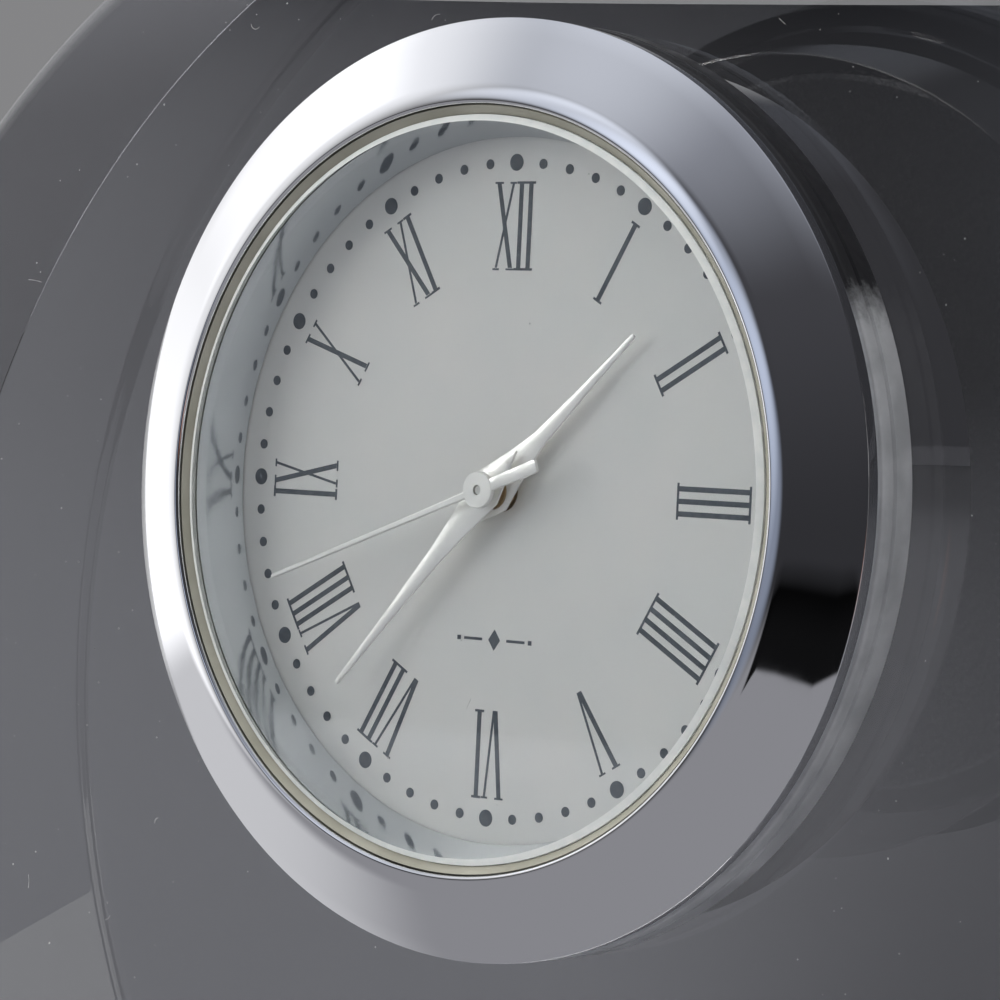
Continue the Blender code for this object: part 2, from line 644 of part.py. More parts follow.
def wheel_train():
    """Rotor to hour wheel, each phase following from its driver's."""
    arbor = circle(ARBOR_R, 12)
    white = moulded("white wheel", (0.8, 0.8, 0.78))
    wheel(
        "rotor", AT_ROTOR,
        [
            (arbor, ARBOR_REAR, ARBOR_FRONT),
            (circle(0.7 * MM, 24), -1.9 * MM, -1.25 * MM),
            (gear_outline(ROTOR_PINION, ROTOR_MODULE, 0.0), -3.0 * MM, -2.55 * MM),
        ],
        moulded("dark magnet", (0.06, 0.06, 0.07)),
    )
    fifth_phase = meshed_phase(0.0, ROTOR_PINION, AT_ROTOR, FIFTH_WHEEL, AT_FIFTH)
    wheel(
        "fifth_wheel", AT_FIFTH,
        [
            (arbor, ARBOR_REAR, ARBOR_FRONT),
            (gear_outline(FIFTH_WHEEL, ROTOR_MODULE, fifth_phase), -2.88 * MM, -2.7 * MM),
            (gear_outline(FIFTH_PINION, FIFTH_MODULE, 0.0), -2.78 * MM, -2.1 * MM),
        ],
        white,
    )
    seconds_phase = meshed_phase(0.0, FIFTH_PINION, AT_FIFTH, SECONDS_WHEEL, AT_CENTRE)
    wheel(
        "seconds_wheel", AT_CENTRE,
        [
            (circle(SECONDS_ARBOR_R, 16), ARBOR_REAR, SECOND_HAND_W + 0.08 * MM),
            (gear_outline(SECONDS_WHEEL, FIFTH_MODULE, seconds_phase), -2.45 * MM, -2.25 * MM),
            (gear_outline(SECONDS_PINION, THIRD_MODULE, 0.0), -2.35 * MM, -1.6 * MM),
        ],
        white,
    )
    third_phase = meshed_phase(0.0, SECONDS_PINION, AT_CENTRE, THIRD_WHEEL, AT_THIRD)
    wheel(
        "third_wheel", AT_THIRD,
        [
            (arbor, ARBOR_REAR, ARBOR_FRONT),
            (gear_outline(THIRD_WHEEL, THIRD_MODULE, third_phase), -1.93 * MM, -1.75 * MM),
            (gear_outline(THIRD_PINION, CENTRE_MODULE, 0.0), -1.85 * MM, -1.1 * MM),
        ],
        white,
    )
    centre_phase = meshed_phase(0.0, THIRD_PINION, AT_THIRD, CENTRE_WHEEL, AT_CENTRE)
    wheel(
        "centre_wheel", AT_CENTRE,
        [
            (circle(0.4 * MM, 16), -1.3 * MM, MINUTE_HAND_W + HAND_THICKNESS + 0.03 * MM),
            (gear_outline(CENTRE_WHEEL, CENTRE_MODULE, centre_phase), -1.38 * MM, -1.2 * MM),
            (gear_outline(CANNON_PINION, MOTION_MODULE, 0.0), -0.02 * MM, 0.18 * MM),
        ],
        brass(), bore=0.23 * MM,
    )
    minute_phase = meshed_phase(0.0, CANNON_PINION, AT_CENTRE, MINUTE_WHEEL, AT_MINUTE)
    wheel(
        "minute_wheel", AT_MINUTE,
        [
            (gear_outline(MINUTE_WHEEL, MOTION_MODULE, minute_phase), -0.02 * MM, 0.18 * MM),
            (gear_outline(MINUTE_PINION, MOTION_MODULE, 0.0), 0.1 * MM, 0.55 * MM),
        ],
        brass(), bore=STUD_HOLE_R,
    )
    hour_phase = meshed_phase(0.0, MINUTE_PINION, AT_MINUTE, HOUR_WHEEL, AT_CENTRE)
    wheel(
        "hour_wheel", AT_CENTRE,
        [
            (gear_outline(HOUR_WHEEL, MOTION_MODULE, hour_phase), 0.3 * MM, 0.48 * MM),
            (circle(0.75 * MM, 24), 0.34 * MM, HOUR_HAND_W + HAND_THICKNESS + 0.03 * MM),
        ],
        brass(), bore=0.46 * MM,
    )
    setting_phase = meshed_phase(minute_phase, MINUTE_WHEEL, AT_MINUTE, SETTING_WHEEL, AT_SETTING)
    setting = flat_piece(
        "setting_wheel", gear_outline(SETTING_WHEEL, MOTION_MODULE, setting_phase), -0.02 * MM, 0.18 * MM,
        holes=[circle(STUD_HOLE_R, 16)],
    )
    place(setting, AT_SETTING, surface=brass())


def hands():
    for name, outline, tail, low, hole, angle in (
        ("hour_hand", HOUR_OUTLINE, HOUR_TAIL, HOUR_HAND_W, 0.77 * MM, HOUR_ANGLE),
        ("minute_hand", MINUTE_OUTLINE, MINUTE_TAIL, MINUTE_HAND_W, 0.42 * MM, MINUTE_ANGLE),
    ):
        hand = flat_piece(
            name, hand_outline(outline, tail), low, low + HAND_THICKNESS, holes=[circle(hole)]
        )
        place(hand, turn=-math.radians(angle), surface=chrome())

    pointer = [(half, along) for along, half in SECOND_OUTLINE] + [
        (SECOND_TAIL_HALF, SECOND_TAIL), (-SECOND_TAIL_HALF, SECOND_TAIL)
    ] + [(-half, along) for along, half in reversed(SECOND_OUTLINE)]
    outline = [Vector(point) * MINUTE_RING_R for point in reversed(pointer)]
    top = SECOND_HAND_W + HAND_THICKNESS
    second = united(
        flat_piece("second_hand", outline, SECOND_HAND_W, top),
        [
            cylinder("hub", SECOND_HUB_R, SECOND_HAND_W - 0.03 * MM, top + 0.03 * MM, 32),
            cylinder("pipe", 0.36 * MM, SECOND_HAND_W - 0.22 * MM, SECOND_HAND_W + 0.05 * MM, 20),
        ],
    )
    place(second, turn=-math.radians(SECOND_ANGLE), surface=chrome())
    cut(second, [drilled("second_hand_bore", SECONDS_ARBOR_R + 0.03 * MM, AT_CENTRE, 0.0, 4 * MM, 20)])
    smooth(second)


def winding_stem():
    stem = cylinder("stem", STEM_R, 8.0 * MM, 15.3 * MM, 12)
    crown = cylinder("crown", CROWN_R, 15.35 * MM, 16.15 * MM, 32)
    for piece in (stem, crown):
        piece.data.transform(Matrix.Rotation(math.radians(90), 4, "Y"))
        place(piece, w=STEM_W, surface=steel())
        smooth(piece)


clear_scene()
PARTS = new_collection("desk_clock")
CUTTERS = new_collection("cutters")
CLOCK_AXIS = bpy.data.objects.new("clock_axis", None)
CLOCK_AXIS.location = (0.0, AXIS_Y, AXIS_Z)
CLOCK_AXIS.rotation_euler = (math.radians(90) - LEAN, 0.0, 0.0)
CLOCK_AXIS.empty_display_size = 5 * MM
PARTS.objects.link(CLOCK_AXIS)

clear_block()
insert_case()
movement_plates()
fasteners()
motor()
electronics()
wheel_train()
hands()
winding_stem()
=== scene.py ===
import json
import math
import random

import bmesh
import bpy
from mathutils import Matrix, Vector


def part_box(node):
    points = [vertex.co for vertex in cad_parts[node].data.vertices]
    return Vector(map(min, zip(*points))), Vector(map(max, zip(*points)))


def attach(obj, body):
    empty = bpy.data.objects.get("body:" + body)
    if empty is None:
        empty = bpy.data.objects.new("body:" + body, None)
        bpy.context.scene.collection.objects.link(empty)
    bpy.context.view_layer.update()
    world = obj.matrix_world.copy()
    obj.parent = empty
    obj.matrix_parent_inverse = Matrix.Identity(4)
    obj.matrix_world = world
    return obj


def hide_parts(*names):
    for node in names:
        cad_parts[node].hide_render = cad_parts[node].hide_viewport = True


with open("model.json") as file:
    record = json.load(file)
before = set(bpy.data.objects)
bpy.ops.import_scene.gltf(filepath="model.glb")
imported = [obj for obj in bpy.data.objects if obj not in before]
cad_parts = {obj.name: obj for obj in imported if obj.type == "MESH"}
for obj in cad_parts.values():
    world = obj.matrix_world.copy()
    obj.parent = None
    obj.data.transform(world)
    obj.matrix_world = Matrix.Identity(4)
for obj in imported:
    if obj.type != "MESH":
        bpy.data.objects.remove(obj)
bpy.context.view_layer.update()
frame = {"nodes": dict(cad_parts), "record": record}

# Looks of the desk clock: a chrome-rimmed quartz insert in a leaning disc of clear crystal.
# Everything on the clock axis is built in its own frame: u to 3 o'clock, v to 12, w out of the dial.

MM = 0.001
RECORD = frame["record"]
NODES = frame["nodes"]

# ---------------------------------------------------------------- frame of the clock axis


def axis_frame():
    """Local (u, v, w) to world, read from the joint that the minute hand turns on."""
    joint = next(j for j in RECORD["behaviour"]["joints"] if j["name"] == "minutes_turn")
    w = -Vector(joint["axis"]).normalized()
    u = Vector((1.0, 0.0, 0.0))
    v = w.cross(u)
    matrix = Matrix((u, v, w)).transposed().to_4x4()
    matrix.translation = Vector(joint["pos_m"])
    return matrix


AXIS = axis_frame()
TO_AXIS = AXIS.inverted()


class Extent:
    """A node's lowest and highest w, and its inner and outer radius round the clock axis."""

    def __init__(self, node):
        points = [TO_AXIS @ vertex.co for vertex in NODES[node].data.vertices]
        radii = [math.hypot(point.x, point.y) for point in points]
        self.low = min(point.z for point in points)
        self.high = max(point.z for point in points)
        self.inner = min(radii)
        self.outer = max(radii)


# ---------------------------------------------------------------- mesh helpers


def finished(name, mesh, body, material, degrees=35, local=True):
    """Puts a mesh built round the clock axis into the scene as a piece that rides on a body."""
    if local:
        mesh.transform(AXIS)
    obj = bpy.data.objects.new(name, mesh)
    bpy.context.scene.collection.objects.link(obj)
    mesh.materials.clear()
    mesh.materials.append(material)
    mesh.shade_smooth()
    mesh.set_sharp_from_angle(angle=math.radians(degrees))
    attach(obj, body)
    return obj


def mesh_from(bm, name):
    bmesh.ops.recalc_face_normals(bm, faces=bm.faces)
    mesh = bpy.data.meshes.new(name)
    bm.to_mesh(mesh)
    bm.free()
    return mesh


def revolve(name, profile, segments, closed=True, centre=(0.0, 0.0)):
    """A profile of (radius, w) points turned round the line along w through centre."""
    bm = bmesh.new()
    rings = []
    for radius, w in profile:
        if radius < 1e-9:
            rings.append([bm.verts.new((centre[0], centre[1], w))])
            continue
        ring = []
        for step in range(segments):
            angle = 2 * math.pi * step / segments
            u = centre[0] + radius * math.cos(angle)
            v = centre[1] + radius * math.sin(angle)
            ring.append(bm.verts.new((u, v, w)))
        rings.append(ring)
    pairs = list(zip(rings, rings[1:]))
    if closed:
        pairs.append((rings[-1], rings[0]))
    for first, second in pairs:
        for step in range(segments):
            after = (step + 1) % segments
            corners = [first[step % len(first)], second[step % len(second)], second[after % len(second)],
                       first[after % len(first)]]
            corners = list(dict.fromkeys(corners))
            if len(corners) > 2:
                bm.faces.new(corners)
    return mesh_from(bm, name)


def arc(centre, radius, start, end, steps):
    """Points (radius, w) on an arc of a profile, angles in degrees from the +radius direction."""
    points = []
    for step in range(steps + 1):
        angle = math.radians(start + (end - start) * step / steps)
        points.append((centre[0] + radius * math.cos(angle), centre[1] + radius * math.sin(angle)))
    return points


def prism(bm, outline, low, high):
    """A flat outline of (u, v) points, raised from low to high."""
    bottom = [bm.verts.new((u, v, low)) for u, v in outline]
    top = [bm.verts.new((u, v, high)) for u, v in outline]
    bm.faces.new(top)
    bm.faces.new(list(reversed(bottom)))
    for index in range(len(outline)):
        after = (index + 1) % len(outline)
        bm.faces.new((bottom[index], bottom[after], top[after], top[index]))


def apply_modifiers(obj):
    """Gives an object the mesh that its modifiers make."""
    graph = bpy.context.evaluated_depsgraph_get()
    mesh = bpy.data.meshes.new_from_object(obj.evaluated_get(graph))
    obj.modifiers.clear()
    obj.data = mesh


def subtract(obj, cutter):
    """Cuts one object's shape out of another and removes the cutter."""
    change = obj.modifiers.new("subtract", "BOOLEAN")
    change.object = cutter
    change.operation = "DIFFERENCE"
    change.solver = "EXACT"
    apply_modifiers(obj)
    bpy.data.objects.remove(cutter, do_unlink=True)


def weigh_normals(obj):
    """Lets large faces rule the shading, so the small rounded edges beside them don't bend their light."""
    change = obj.modifiers.new("weighted", "WEIGHTED_NORMAL")
    change.keep_sharp = True
    apply_modifiers(obj)


def helper(name, mesh, local=True):
    """An object without looks, to cut with or to work on."""
    if local:
        mesh.transform(AXIS)
    obj = bpy.data.objects.new(name, mesh)
    bpy.context.scene.collection.objects.link(obj)
    return obj


def clock_direction(degrees):
    """Unit (u, v) at an angle clockwise from 12 o'clock."""
    angle = math.radians(degrees)
    return Vector((math.sin(angle), math.cos(angle)))


# ---------------------------------------------------------------- materials


class Shader:
    """A Principled material under construction: nodes are added by short helpers."""

    def __init__(self, name, colour, roughness, metallic=0.0, **inputs):
        self.material = bpy.data.materials.new(name)
        self.material.use_nodes = True
        self.nodes = self.material.node_tree.nodes
        self.links = self.material.node_tree.links
        self.shader = self.nodes["Principled BSDF"]
        self.set("Base Color", (*colour, 1.0))
        self.set("Roughness", roughness)
        self.set("Metallic", metallic)
        for key, value in inputs.items():
            self.set(key.replace("_", " "), value)

    def set(self, socket, value):
        self.shader.inputs[socket].default_value = value

    def add(self, kind, **settings):
        node = self.nodes.new(kind)
        for key, value in settings.items():
            setattr(node, key, value)
        return node

    def position(self):
        return self.add("ShaderNodeTexCoord").outputs["Object"]

    def noise(self, size, detail=3.0, rough=0.5):
        """Noise whose lumps are about size metres across."""
        noise = self.add("ShaderNodeTexNoise")
        noise.inputs["Scale"].default_value = 1.0 / size
        noise.inputs["Detail"].default_value = detail
        noise.inputs["Roughness"].default_value = rough
        self.links.new(self.position(), noise.inputs["Vector"])
        return noise.outputs["Fac"]

    def ramp(self, value, low, high, out_low, out_high):
        ranged = self.add("ShaderNodeMapRange", clamp=True)
        self.links.new(value, ranged.inputs["Value"])
        ranged.inputs["From Min"].default_value = low
        ranged.inputs["From Max"].default_value = high
        ranged.inputs["To Min"].default_value = out_low
        ranged.inputs["To Max"].default_value = out_high
        return ranged.outputs["Result"]

    def vary_roughness(self, size, low, high, **options):
        level = self.ramp(self.noise(size, **options), 0.3, 0.7, low, high)
        self.links.new(level, self.shader.inputs["Roughness"])

    def vary_colour(self, size, first, second, low=0.35, high=0.65, **options):
        mix = self.add("ShaderNodeMix", data_type="RGBA")
        self.links.new(self.ramp(self.noise(size, **options), low, high, 0.0, 1.0), mix.inputs["Factor"])
        mix.inputs["A"].default_value = (*first, 1.0)
        mix.inputs["B"].default_value = (*second, 1.0)
        self.links.new(mix.outputs["Result"], self.shader.inputs["Base Color"])

    def bump(self, size, depth, **options):
        """Relief of depth metres from noise of the given size."""
        bump = self.add("ShaderNodeBump")
        bump.inputs["Strength"].default_value = 1.0
        bump.inputs["Distance"].default_value = depth
        self.links.new(self.noise(size, **options), bump.inputs["Height"])
        self.links.new(bump.outputs["Normal"], self.shader.inputs["Normal"])


def clear_crystal():
    made = Shader("clear_crystal", (0.985, 0.99, 0.992), 0.0, IOR=1.5, Transmission_Weight=1.0)
    made.vary_colour(12 * MM, (0.98, 0.987, 0.99), (0.99, 0.993, 0.995))
    return made.material


def watch_glass():
    made = Shader("watch_glass", (0.975, 0.99, 0.985), 0.0, IOR=1.5, Transmission_Weight=1.0)
    made.vary_colour(4 * MM, (0.965, 0.985, 0.98), (0.98, 0.993, 0.99))
    return made.material


def ground_glass():
    """The ground bevel and edge of the watch glass."""
    made = Shader("ground_glass", (0.86, 0.88, 0.85), 0.5, IOR=1.5, Transmission_Weight=0.45)
    made.vary_colour(0.6 * MM, (0.8, 0.83, 0.8), (0.9, 0.91, 0.87), detail=4.0)
    made.vary_roughness(0.3 * MM, 0.42, 0.6)
    return made.material


def chrome():
    made = Shader("bezel_chrome", (0.86, 0.865, 0.885), 0.03, 1.0)
    made.vary_roughness(1.6 * MM, 0.02, 0.055, detail=5.0)
    made.bump(2.5 * MM, 0.0012 * MM, detail=2.0)
    return made.material


def mirror_silver():
    made = Shader("reflector_silver", (0.66, 0.69, 0.72), 0.1, 1.0)
    made.vary_roughness(1.2 * MM, 0.07, 0.13)
    made.bump(0.9 * MM, 0.006 * MM, detail=2.0)
    return made.material


def silvered_dial():
    made = Shader("dial_satin_silver", (0.82, 0.81, 0.785), 0.45, 0.12)
    made.vary_colour(3.0 * MM, (0.805, 0.80, 0.78), (0.83, 0.815, 0.79), detail=5.0)
    made.vary_roughness(0.25 * MM, 0.36, 0.5, detail=4.0)
    made.bump(0.09 * MM, 0.0012 * MM, detail=3.0)
    return made.material


def dial_ink():
    made = Shader("dial_ink", (0.09, 0.105, 0.125), 0.45)
    made.vary_colour(0.3 * MM, (0.075, 0.09, 0.11), (0.105, 0.12, 0.14), detail=4.0)
    made.bump(0.06 * MM, 0.001 * MM)
    return made.material


def hand_metal():
    made = Shader("hand_bright_metal", (0.97, 0.955, 0.925), 0.47, 0.45)
    made.vary_roughness(0.4 * MM, 0.42, 0.52, detail=4.0)
    made.bump(0.25 * MM, 0.001 * MM)
    return made.material


def olive_seal():
    made = Shader("olive_seal", (0.3, 0.29, 0.235), 0.4)
    made.vary_colour(2.5 * MM, (0.27, 0.262, 0.21), (0.33, 0.32, 0.265))
    made.vary_roughness(0.4 * MM, 0.35, 0.5)
    return made.material


# Middle and half width, in degrees clockwise from 12 o'clock, of the painted shade on the grip ring.
SHADE_MIDDLE = 12.0
SHADE_HALF_WIDTH = 53.0


def grip_plastic():
    """Frosted clear plastic with painted shade: its colour goes near black over the upper arc, up to a ragged
    edge.
    """
    made = Shader("grip_ring_clear", (0.86, 0.87, 0.88), 0.4, IOR=1.45, Transmission_Weight=0.25)
    made.vary_roughness(0.8 * MM, 0.3, 0.5, detail=5.0)
    made.bump(0.5 * MM, 0.012 * MM, detail=4.0)
    # Painted shade: within the arc round the middle direction the base colour is near black, with a ragged
    # edge; elsewhere the frosted mottle shows.
    offset = made.add("ShaderNodeVectorMath", operation="SUBTRACT")
    made.links.new(made.position(), offset.inputs[0])
    offset.inputs[1].default_value = AXIS.translation
    outward = made.add("ShaderNodeVectorMath", operation="NORMALIZE")
    made.links.new(offset.outputs["Vector"], outward.inputs[0])
    along = made.add("ShaderNodeVectorMath", operation="DOT_PRODUCT")
    made.links.new(outward.outputs["Vector"], along.inputs[0])
    middle = clock_direction(SHADE_MIDDLE)
    along.inputs[1].default_value = AXIS.to_3x3() @ Vector((middle.x, middle.y, 0.0))
    ragged = made.add("ShaderNodeMath", operation="ADD")
    made.links.new(along.outputs["Value"], ragged.inputs[0])
    tatter = made.ramp(made.noise(0.35 * MM, detail=6.0, rough=0.7), 0.2, 0.8, -0.03, 0.03)
    made.links.new(tatter, ragged.inputs[1])
    edge = math.cos(math.radians(SHADE_HALF_WIDTH))
    painted_shade = made.ramp(ragged.outputs["Value"], edge - 0.05, edge + 0.03, 0.0, 1.0)
    mix = made.add("ShaderNodeMix", data_type="RGBA")
    made.links.new(painted_shade, mix.inputs["Factor"])
    mottle = made.add("ShaderNodeMix", data_type="RGBA")
    made.links.new(made.ramp(made.noise(1.6 * MM, detail=5.0), 0.35, 0.65, 0.0, 1.0), mottle.inputs["Factor"])
    mottle.inputs["A"].default_value = (0.31, 0.317, 0.33, 1.0)
    mottle.inputs["B"].default_value = (0.43, 0.437, 0.452, 1.0)
    made.links.new(mottle.outputs["Result"], mix.inputs["A"])
    mix.inputs["B"].default_value = (0.012, 0.012, 0.014, 1.0)
    made.links.new(mix.outputs["Result"], made.shader.inputs["Base Color"])
    return made.material


def metal(name, colour, low, high, grain=0.3):
    made = Shader(name, colour, (low + high) / 2, 1.0)
    tint = tuple(0.86 * channel for channel in colour)
    made.vary_colour(grain * 4 * MM, tint, colour, detail=5.0)
    made.vary_roughness(grain * MM, low, high, detail=5.0)
    made.bump(grain * 0.5 * MM, 0.0006 * MM, detail=4.0)
    return made.material


def moulded(name, colour, low=0.35, high=0.55):
    made = Shader(name, colour, (low + high) / 2)
    made.vary_colour(0.8 * MM, tuple(0.88 * channel for channel in colour), colour, detail=4.0)
    made.vary_roughness(0.25 * MM, low, high, detail=4.0)
    made.bump(0.12 * MM, 0.003 * MM, detail=3.0)
    return made.material


def lint():
    made = Shader("lint", (0.6, 0.6, 0.58), 0.7, Alpha=0.7)
    made.vary_colour(0.2 * MM, (0.4, 0.4, 0.39), (0.75, 0.75, 0.73))
    return made.material


MATERIALS = {
    "clear_crystal": clear_crystal(),
    "mineral_glass": watch_glass(),
    "chrome": chrome(),
    "mirror_silver": mirror_silver(),
    "silvered_dial": silvered_dial(),
    "hand_metal": hand_metal(),
    "olive_seal": olive_seal(),
    "clear_soft_plastic": grip_plastic(),
    "bright_steel": metal("bright_steel", (0.62, 0.62, 0.63), 0.18, 0.34),
    "plated_brass": metal("plated_brass", (0.78, 0.6, 0.36), 0.16, 0.3),
    "copper_wire": metal("copper_wire", (0.6, 0.25, 0.12), 0.25, 0.4, 0.1),
    "dark_magnet": metal("dark_magnet", (0.16, 0.16, 0.17), 0.35, 0.5),
    "white_plastic": moulded("white_plastic", (0.76, 0.76, 0.73)),
    "black_plastic": moulded("black_plastic", (0.03, 0.03, 0.034)),
    "green_board": moulded("green_board", (0.02, 0.16, 0.06), 0.2, 0.35),
    "black_epoxy": moulded("black_epoxy", (0.02, 0.02, 0.021)),
}
INK = dial_ink()
GROUND = ground_glass()
LINT = lint()


def finish_cad_nodes():
    for entry in RECORD["subparts"]:
        node = NODES[entry["node"]]
        node.data.materials.clear()
        node.data.materials.append(MATERIALS[entry["material_slot"]])


finish_cad_nodes()

# ---------------------------------------------------------------- clear disc

DISC_EDGE = 1.5 * MM
REAR_EDGE = 0.05 * MM
DISC_REACH = 60 * MM
HOLE_RADIUS = 17.5 * MM
HOLE_FLOOR = -9.0 * MM
HOLE_EASE = 0.15 * MM
HOLE_FILLET = 0.12 * MM
INSIDE_BOX = 0.001 * MM


def crystal_disc():
    """The leaning disc: turned round w, cut upright at the rear and level at the base, with a polished hole.

    Clear glass lets the light through to the floor behind it, so the disc casts no shadow of its own.
    """
    low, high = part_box("crystal_block")
    radius = (high[0] - low[0]) / 2 - 3 * INSIDE_BOX
    points = [TO_AXIS @ vertex.co for vertex in NODES["crystal_block"].data.vertices]
    centre = (0.0, max(point.y for point in points if abs(point.x) < 2 * MM) - radius - 3 * INSIDE_BOX)
    front = max(point.z for point in points)
    edge = radius - DISC_EDGE
    profile = [(0.0, front)] + arc((edge, front - DISC_EDGE), DISC_EDGE, 90, 0, 10)
    profile += [(radius, front - DISC_REACH), (0.0, front - DISC_REACH)]
    disc = helper("crystal_disc", revolve("crystal_disc", profile, 256, closed=False, centre=centre))
    bm = bmesh.new()
    bm.from_mesh(disc.data)
    rear = (Vector((0.0, high[1] - INSIDE_BOX, 0.0)), Vector((0.0, 1.0, 0.0)))
    base = (Vector((0.0, 0.0, low[2] + INSIDE_BOX)), Vector((0.0, 0.0, -1.0)))
    for point, normal in (rear, base):
        geometry = [*bm.verts, *bm.edges, *bm.faces]
        cut = bmesh.ops.bisect_plane(bm, geom=geometry, plane_co=point, plane_no=normal, clear_outer=True)
        rim = [item for item in cut["geom_cut"] if isinstance(item, bmesh.types.BMEdge)]
        bmesh.ops.contextual_create(bm, geom=rim)
    bmesh.ops.recalc_face_normals(bm, faces=bm.faces)
    sharp = [edge for edge in bm.edges if edge.is_manifold and edge.calc_face_angle() > math.radians(40)]
    bmesh.ops.bevel(bm, geom=sharp, offset=REAR_EDGE, segments=3, profile=0.5, affect="EDGES")
    bm.to_mesh(disc.data)
    bm.free()
    hole = [(0.0, 6 * MM), (HOLE_RADIUS + HOLE_EASE, 6 * MM), (HOLE_RADIUS + HOLE_EASE, 0.0)]
    hole += [(HOLE_RADIUS, -HOLE_EASE)]
    hole += arc((HOLE_RADIUS - HOLE_FILLET, HOLE_FLOOR + HOLE_FILLET), HOLE_FILLET, 0, -90, 4)
    hole += [(0.0, HOLE_FLOOR)]
    cutter = helper("hole_cutter", revolve("hole_cutter", hole, 192, closed=False))
    subtract(disc, cutter)
    mesh = disc.data
    bpy.data.objects.remove(disc, do_unlink=True)
    crystal = MATERIALS["clear_crystal"]
    piece = finished("crystal_disc", mesh, "block", crystal, 25, local=False)
    weigh_normals(piece)
    piece.visible_shadow = False
    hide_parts("crystal_block")


crystal_disc()

# ---------------------------------------------------------------- insert: grip ring to reflector

RING = 224
SLEEVE = 17.4 * MM
RIBS = 5
RIB_PITCH = 0.75 * MM
RIB_DEPTH = 0.25 * MM
GROOVE = 0.16 * MM
LIP_REACH = 0.18 * MM
LIP_RADIUS = 0.14 * MM
LIP_SLOPE = 6.0
LIP_EASE = 2.2 * MM
OUTER_EDGE = 0.05 * MM
CONE_TOP = (15.68 * MM, 4.28 * MM)
CONE_END = (18.33 * MM, 3.034 * MM)
BEZEL_BORE = 15.93 * MM
BEZEL_STEP = 2.88 * MM
BEVEL_WIDTH = 0.26 * MM
BEVEL_DEPTH = 0.16 * MM
SEAL_DISH = 0.24 * MM
REFLECTOR_MOUTH = 14.52 * MM


def grip_ring():
    """Clear soft ring: a stepped flange under the bezel and a ribbed sleeve, with a gap for the crown."""
    size = Extent("grip_gasket")
    outer, inner = size.outer, size.inner
    top = size.high
    profile = [(inner, top)]
    profile += arc((outer - 0.18 * MM, top - 0.18 * MM), 0.18 * MM, 90, 0, 4)
    profile += [(outer, 1.36 * MM), (outer - GROOVE, 1.28 * MM)]
    profile += [(outer - GROOVE, 1.2 * MM), (outer, 1.12 * MM)]
    profile += arc((outer - 0.12 * MM, 0.17 * MM), 0.12 * MM, 0, -90, 3)
    profile += [(SLEEVE, 0.05 * MM), (SLEEVE - RIB_DEPTH, -0.2 * MM)]
    for rib in range(RIBS):
        w = -0.6 * MM - rib * RIB_PITCH
        profile += [(SLEEVE - RIB_DEPTH, w), (SLEEVE, w - 0.12 * MM), (SLEEVE - RIB_DEPTH, w - 0.5 * MM)]
    profile += [(SLEEVE - 0.4 * MM, size.low), (inner, size.low)]
    ring = helper("grip_ring", revolve("grip_ring", profile, RING))
    bm = bmesh.new()
    gap = [(14 * MM, -2 * MM), (19 * MM, -2 * MM), (19 * MM, 2 * MM), (14 * MM, 2 * MM)]
    prism(bm, gap, -6 * MM, -0.05 * MM)
    subtract(ring, helper("crown_gap", mesh_from(bm, "crown_gap")))
    mesh = ring.data
    bpy.data.objects.remove(ring, do_unlink=True)
    plastic = MATERIALS["clear_soft_plastic"]
    piece = finished("clear_grip_ring", mesh, "insert", plastic, 30, local=False)
    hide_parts("grip_gasket")


def bezel():
    """Plated ring: rounded lip easing into a shallow cone, a crisp outer edge and a short side wall."""
    size = Extent("bezel")
    outer, inner = size.outer, size.inner - LIP_REACH
    fall = (CONE_TOP[1] - CONE_END[1]) / (CONE_END[0] - CONE_TOP[0])
    slope = math.degrees(math.atan(fall))
    start = inner + LIP_RADIUS + LIP_RADIUS * math.sin(math.radians(LIP_SLOPE))
    start += LIP_EASE * (math.sin(math.radians(slope)) - math.sin(math.radians(LIP_SLOPE)))
    start_w = CONE_TOP[1] - (start - CONE_TOP[0]) * fall
    centre = (start - LIP_EASE * math.sin(math.radians(slope)),
              start_w - LIP_EASE * math.cos(math.radians(slope)))
    ease = arc(centre, LIP_EASE, 90 - LIP_SLOPE, 90 - slope, 10)
    lip_centre = (ease[0][0] - LIP_RADIUS * math.sin(math.radians(LIP_SLOPE)),
                  ease[0][1] - LIP_RADIUS * math.cos(math.radians(LIP_SLOPE)))
    profile = [(inner, BEZEL_STEP)] + arc(lip_centre, LIP_RADIUS, 180, 90 - LIP_SLOPE, 10)[:-1] + ease
    turn = math.radians(90 - slope)
    edge_start = outer - OUTER_EDGE * (1 - math.cos(turn))
    edge_w = start_w - (edge_start - start) * fall
    for step in range(1, 4):
        t = step / 4
        profile.append((start + t * (edge_start - start), start_w + t * (edge_w - start_w)))
    profile += arc((outer - OUTER_EDGE, edge_w - OUTER_EDGE * math.sin(turn)), OUTER_EDGE, 90 - slope, 0, 5)
    profile += [(outer - 0.01 * MM, 2.5 * MM), (outer - 0.06 * MM, size.low + 0.05 * MM)]
    profile += [(outer - 0.12 * MM, size.low), (BEZEL_BORE, size.low), (BEZEL_BORE, BEZEL_STEP)]
    mesh = revolve("chrome_bezel", profile, RING)
    piece = finished("chrome_bezel", mesh, "insert", MATERIALS["chrome"], 50)
    weigh_normals(piece)
    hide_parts("bezel")


